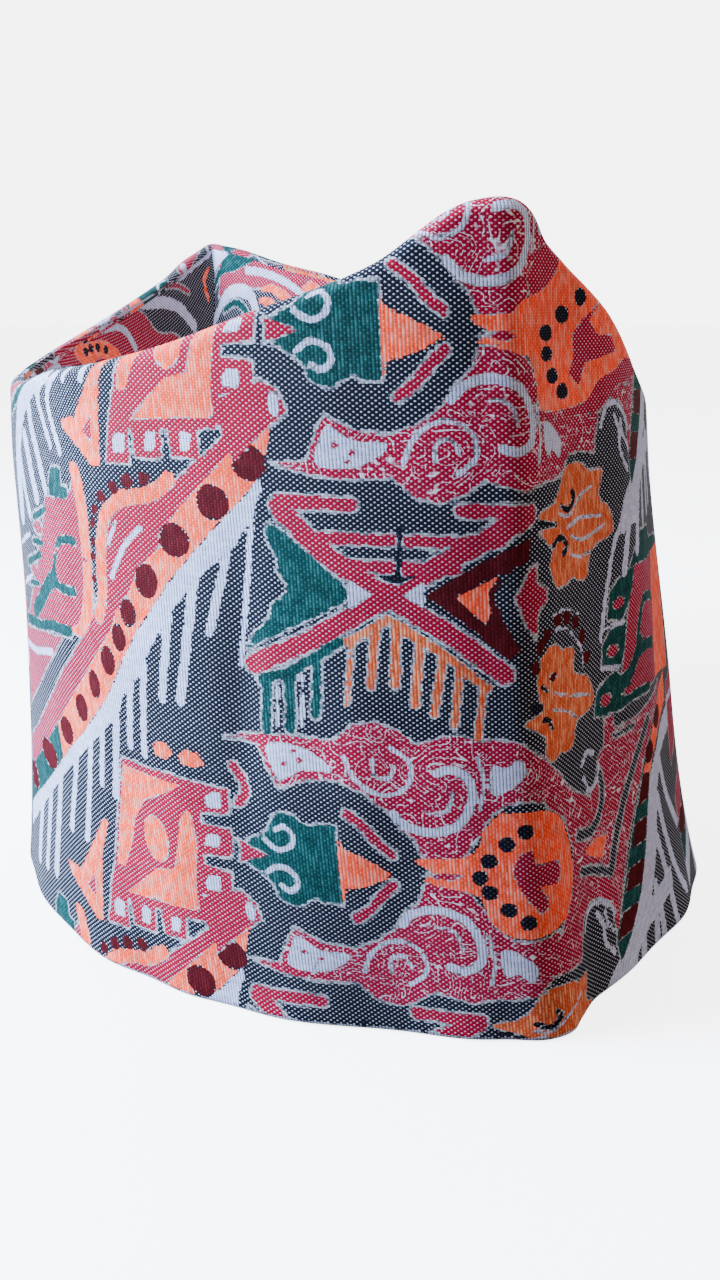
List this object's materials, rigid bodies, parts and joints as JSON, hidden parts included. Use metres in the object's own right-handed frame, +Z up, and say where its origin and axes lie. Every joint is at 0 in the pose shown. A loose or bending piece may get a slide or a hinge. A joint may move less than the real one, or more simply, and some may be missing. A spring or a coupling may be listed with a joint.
{
  "type": "dhaka topi",
  "caption": "Brimless woven cotton cap standing open on its rim, with a creased band rising to two blunt peaks and a sunken crown.",
  "frame": {"origin": "centre of the plan outline, on the level that the rim rests on", "axes": "+Z up, +Y from the near crease to the far crease, +X to the right of that"},
  "size_m": [0.1522, 0.2088, 0.134],
  "materials": {
    "band_cloth": "woven cotton",
    "crown_cloth": "woven cotton"
  },
  "bodies": {
    "root": {"band": "band_cloth", "crown": "crown_cloth"}
  },
  "joints": []
}
